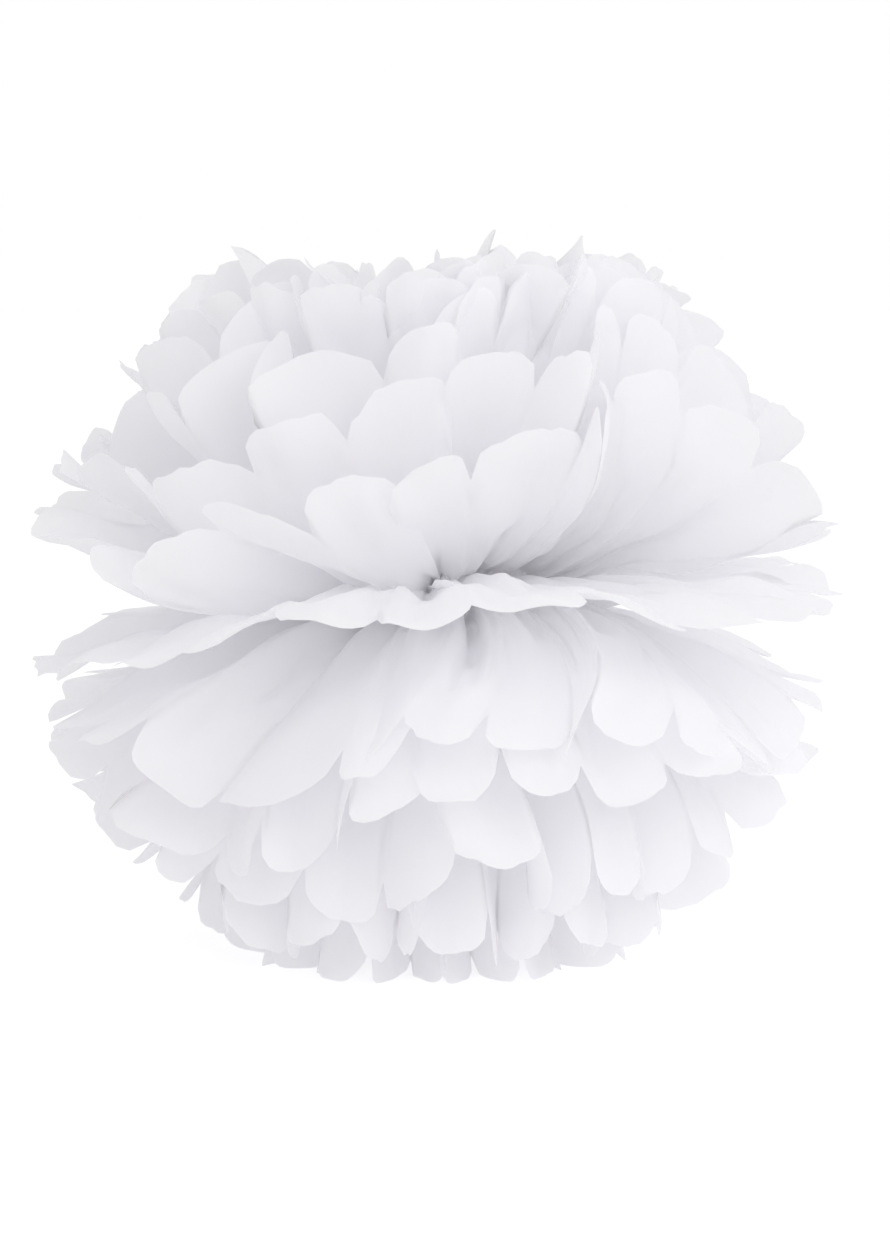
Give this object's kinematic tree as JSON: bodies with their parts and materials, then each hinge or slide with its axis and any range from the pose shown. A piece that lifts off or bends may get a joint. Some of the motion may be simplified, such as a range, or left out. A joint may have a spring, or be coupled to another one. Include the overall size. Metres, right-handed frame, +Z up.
{
  "type": "tissue paper pom pom",
  "caption": "Round ball of white tissue paper petals: pleated sheets tied at the middle with a wire, fanned out and pulled apart, to hang or stand as decoration.",
  "frame": {"origin": "under the middle of the ball's box, at the tips of its lowest petals", "axes": "+X along the pleated strip, from one fan to the other; +Y across the pleats; +Z up, the way the sheets are pulled apart"},
  "size_m": [0.348, 0.3408, 0.2876],
  "materials": {
    "tissue": "matte, thin and translucent",
    "wire": "matte white paper sleeve over thin wire"
  },
  "bodies": {
    "root": {"tissue_sheet_01": "tissue", "tissue_sheet_02": "tissue", "tissue_sheet_03": "tissue", "tissue_sheet_04": "tissue", "tissue_sheet_05": "tissue", "tissue_sheet_06": "tissue", "tissue_sheet_07": "tissue", "tissue_sheet_08": "tissue", "tissue_sheet_09": "tissue", "tissue_sheet_10": "tissue", "tissue_sheet_11": "tissue", "tissue_sheet_12": "tissue", "tie_wire": "wire"}
  },
  "joints": []
}
